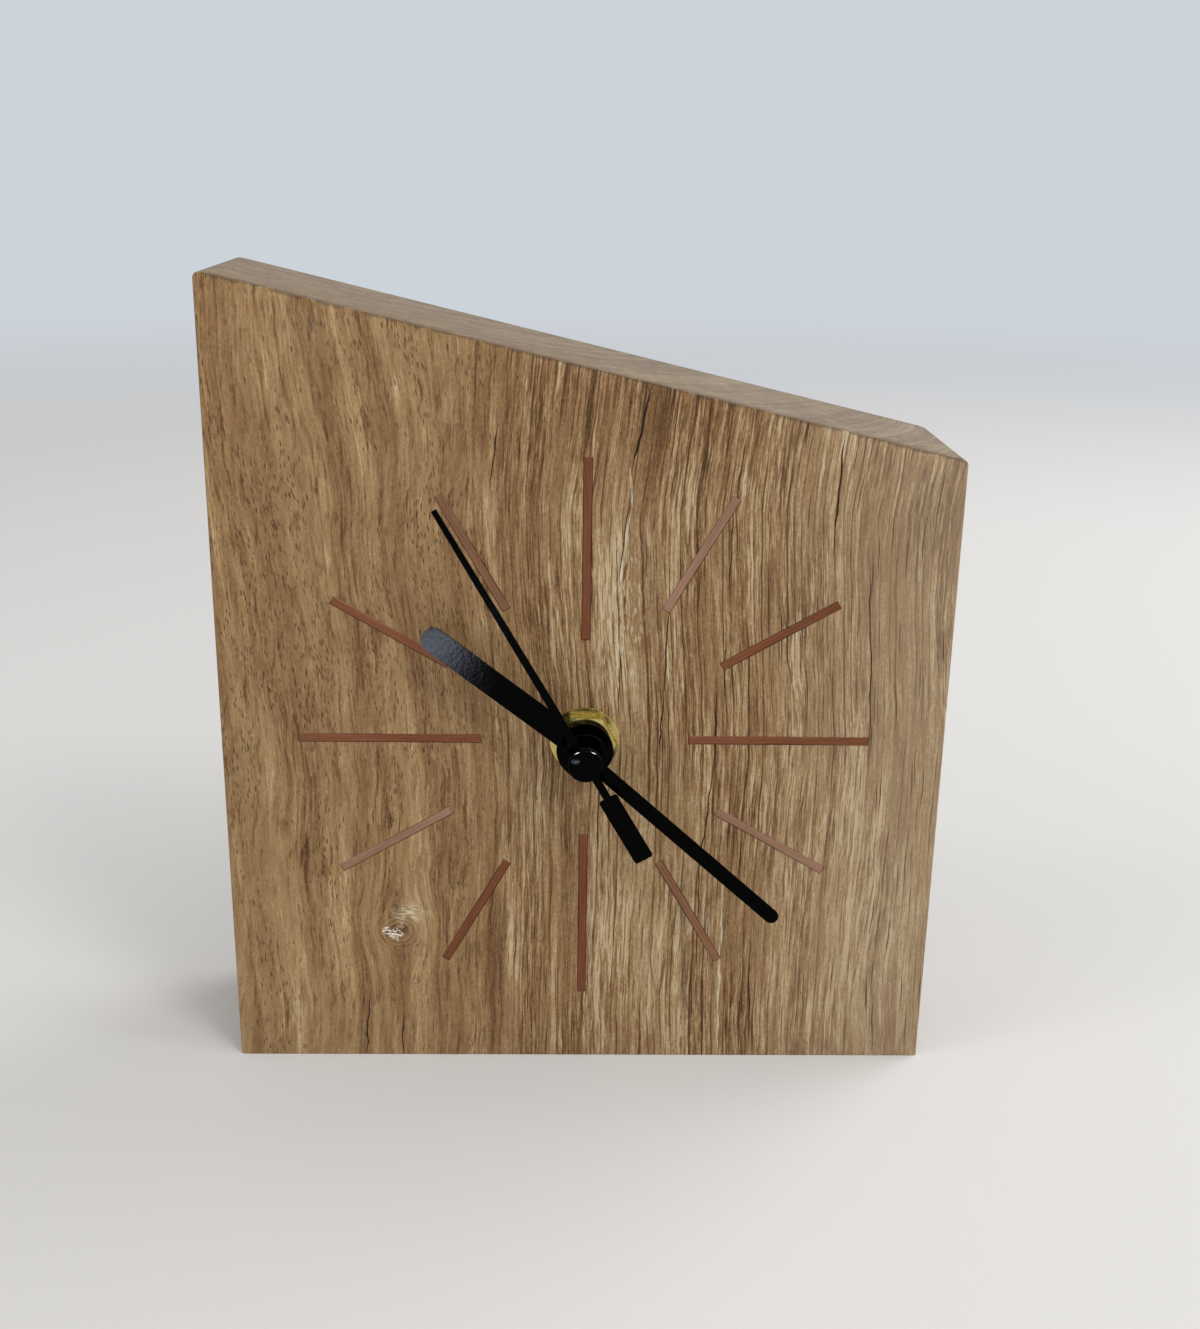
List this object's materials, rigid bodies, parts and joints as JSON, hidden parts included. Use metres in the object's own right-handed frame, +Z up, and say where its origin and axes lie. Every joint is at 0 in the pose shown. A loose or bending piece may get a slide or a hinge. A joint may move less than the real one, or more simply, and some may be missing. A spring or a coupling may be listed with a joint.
{
  "type": "analog desk clock",
  "caption": "Free-standing desk clock: slanted oak block with copper hour bars, black hands and a battery quartz movement let into the back.",
  "frame": {"origin": "centre of the rectangle that the block stands on, on its underside", "axes": "+Z up; the dial faces -Y, so seen from the front +X is to the right and +Y runs back into the block"},
  "size_m": [0.16, 0.0585, 0.1796],
  "materials": {
    "oak": "fine-grained brown oak, oiled, matt",
    "copper": "brushed copper",
    "brass": "turned and polished brass",
    "hand_black": "gloss black lacquer",
    "case_black": "fine-textured moulded black",
    "plate_white": "satin moulded off-white",
    "gear_white": "satin moulded white acetal",
    "steel": "bright steel",
    "soft_iron": "dull stamped iron",
    "contact_steel": "nickel-plated strip",
    "magnet": "dark ferrite",
    "rubber": "soft black rubber",
    "bobbin": "natural nylon",
    "winding_copper": "enamelled copper wire",
    "board_green": "green solder mask",
    "chip_resin": "black potting resin",
    "battery_can": "nickel-plated can",
    "battery_sleeve": "plain printed film, no words"
  },
  "bodies": {
    "base": {"hour_bar_01": "copper", "hour_bar_02": "copper", "hour_bar_03": "copper", "hour_bar_04": "copper", "hour_bar_05": "copper", "hour_bar_06": "copper", "hour_bar_07": "copper", "hour_bar_08": "copper", "hour_bar_09": "copper", "hour_bar_10": "copper", "hour_bar_11": "copper", "hour_bar_12": "copper", "oak_block": "oak", "gasket": "rubber", "front_case": "case_black", "threaded_bush": "brass", "washer": "brass", "hex_nut": "brass", "rear_cover": "case_black", "middle_plate": "plate_white", "train_bridge": "plate_white", "plate_screws": "steel", "stator": "soft_iron", "coil_core": "soft_iron", "coil_bobbin": "bobbin", "coil_winding": "winding_copper", "coil_screws": "steel", "circuit_board": "board_green", "chip": "chip_resin", "crystal": "steel", "positive_contact": "contact_steel", "negative_contact": "contact_steel", "battery_can": "battery_can", "battery_sleeve": "battery_sleeve"},
    "second_hand": {"second_arbor": "steel", "second_hand": "hand_black", "second_tube": "brass", "second_cap": "hand_black"},
    "rotor": {"rotor_pinion": "gear_white", "rotor_magnet": "magnet"},
    "intermediate": {"intermediate_wheel": "gear_white"},
    "third": {"third_wheel": "gear_white"},
    "centre": {"centre_wheel": "gear_white"},
    "minute_hand": {"minute_arbor": "brass", "minute_hand": "hand_black", "minute_collet": "brass"},
    "motion": {"motion_wheel": "gear_white", "setting_knob": "case_black"},
    "hour_hand": {"hour_wheel": "gear_white", "hour_hand": "hand_black", "hour_collet": "brass"}
  },
  "joints": [
    {"name": "second_hand_turn", "type": "hinge", "parent": "base", "child": "second_hand", "pos_m": [0, 0, 0.08], "axis": [0, 1, 0], "continuous": true},
    {"name": "rotor_turn", "type": "hinge", "parent": "base", "child": "rotor", "pos_m": [0.01426, 0, 0.08262], "axis": [0, 1, 0], "continuous": true},
    {"name": "intermediate_turn", "type": "hinge", "parent": "base", "child": "intermediate", "pos_m": [0.00758, 0, 0.08203], "axis": [0, 1, 0], "continuous": true},
    {"name": "third_wheel_turn", "type": "hinge", "parent": "base", "child": "third", "pos_m": [-0.0104, 0, 0.08], "axis": [0, 1, 0], "continuous": true},
    {"name": "centre_wheel_turn", "type": "hinge", "parent": "base", "child": "centre", "pos_m": [0, 0, 0.08], "axis": [0, 1, 0], "continuous": true},
    {"name": "minute_hand_turn", "type": "hinge", "parent": "base", "child": "minute_hand", "pos_m": [0, 0, 0.08], "axis": [0, 1, 0], "continuous": true},
    {"name": "motion_wheel_turn", "type": "hinge", "parent": "base", "child": "motion", "pos_m": [-0.00298, 0, 0.09111], "axis": [0, 1, 0], "continuous": true},
    {"name": "hour_hand_turn", "type": "hinge", "parent": "base", "child": "hour_hand", "pos_m": [0, 0, 0.08], "axis": [0, 1, 0], "continuous": true}
  ],
  "couplings": [
    {"joint": "rotor_turn", "follows": "second_hand_turn", "ratio": 30},
    {"joint": "intermediate_turn", "follows": "second_hand_turn", "ratio": -6},
    {"joint": "third_wheel_turn", "follows": "second_hand_turn", "ratio": -0.125},
    {"joint": "centre_wheel_turn", "follows": "second_hand_turn", "ratio": 0.016667},
    {"joint": "motion_wheel_turn", "follows": "minute_hand_turn", "ratio": -0.33333},
    {"joint": "hour_hand_turn", "follows": "minute_hand_turn", "ratio": 0.083333}
  ]
}
